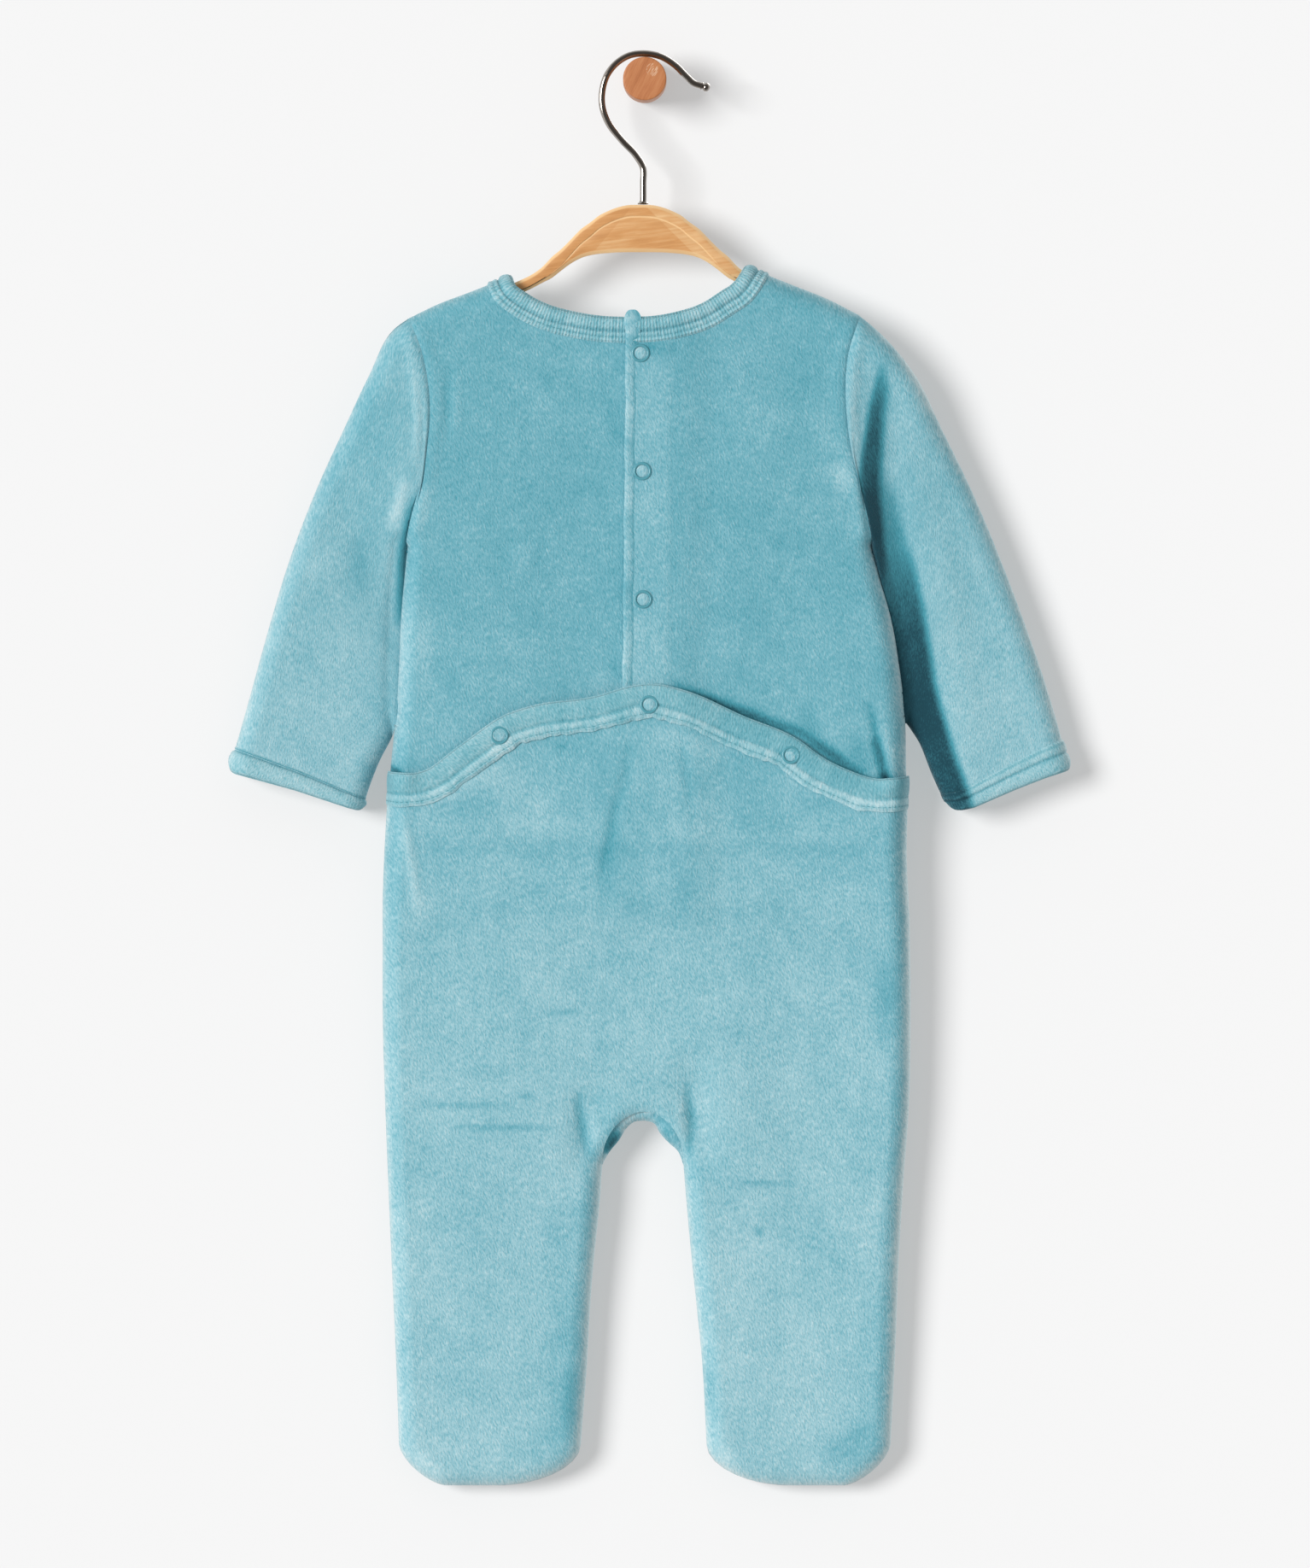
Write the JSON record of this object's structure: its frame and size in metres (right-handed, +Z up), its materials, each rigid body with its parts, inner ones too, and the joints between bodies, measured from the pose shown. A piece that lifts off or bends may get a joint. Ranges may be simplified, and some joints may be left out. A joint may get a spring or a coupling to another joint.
{
  "type": "velour baby sleepsuit on a wooden hanger",
  "caption": "Long-sleeved footed baby sleepsuit in plain velour, with a back closing and a snapped seat flap, hanging flat on a wooden hanger from a round wall peg.",
  "frame": {"origin": "centre of the wall peg's flat back face, on the wall", "axes": "+Y into the wall, +Z up, +X to the right of a viewer who faces the wall and sees the garment's back"},
  "size_m": [0.4367, 0.0505, 0.7399],
  "materials": {
    "velour": "short-pile cotton velour, soft sheen",
    "velour_trim": "short-pile cotton velour, folded and coverstitched",
    "snap_paint": "satin enamel ring",
    "hanger_wood": "satin lacquer",
    "chrome": "polished",
    "peg_wood": "oiled, matt"
  },
  "bodies": {
    "root": {"front_panel_chest": "velour", "front_panel_hips": "velour", "front_panel_leg_left": "velour", "front_panel_leg_right": "velour", "back_left_panel": "velour", "back_right_panel": "velour", "back_lower_panel": "velour", "sleeve_left": "velour", "sleeve_right": "velour", "cuff_left": "velour_trim", "cuff_right": "velour_trim", "neck_binding": "velour_trim", "flap_binding": "velour_trim", "snap_1": "snap_paint", "snap_2": "snap_paint", "snap_3": "snap_paint", "snap_4": "snap_paint", "snap_5": "snap_paint", "snap_6": "snap_paint", "hanger_arm": "hanger_wood", "hanger_hook": "chrome", "hook_ferrule": "chrome", "wall_peg": "peg_wood"}
  },
  "joints": []
}
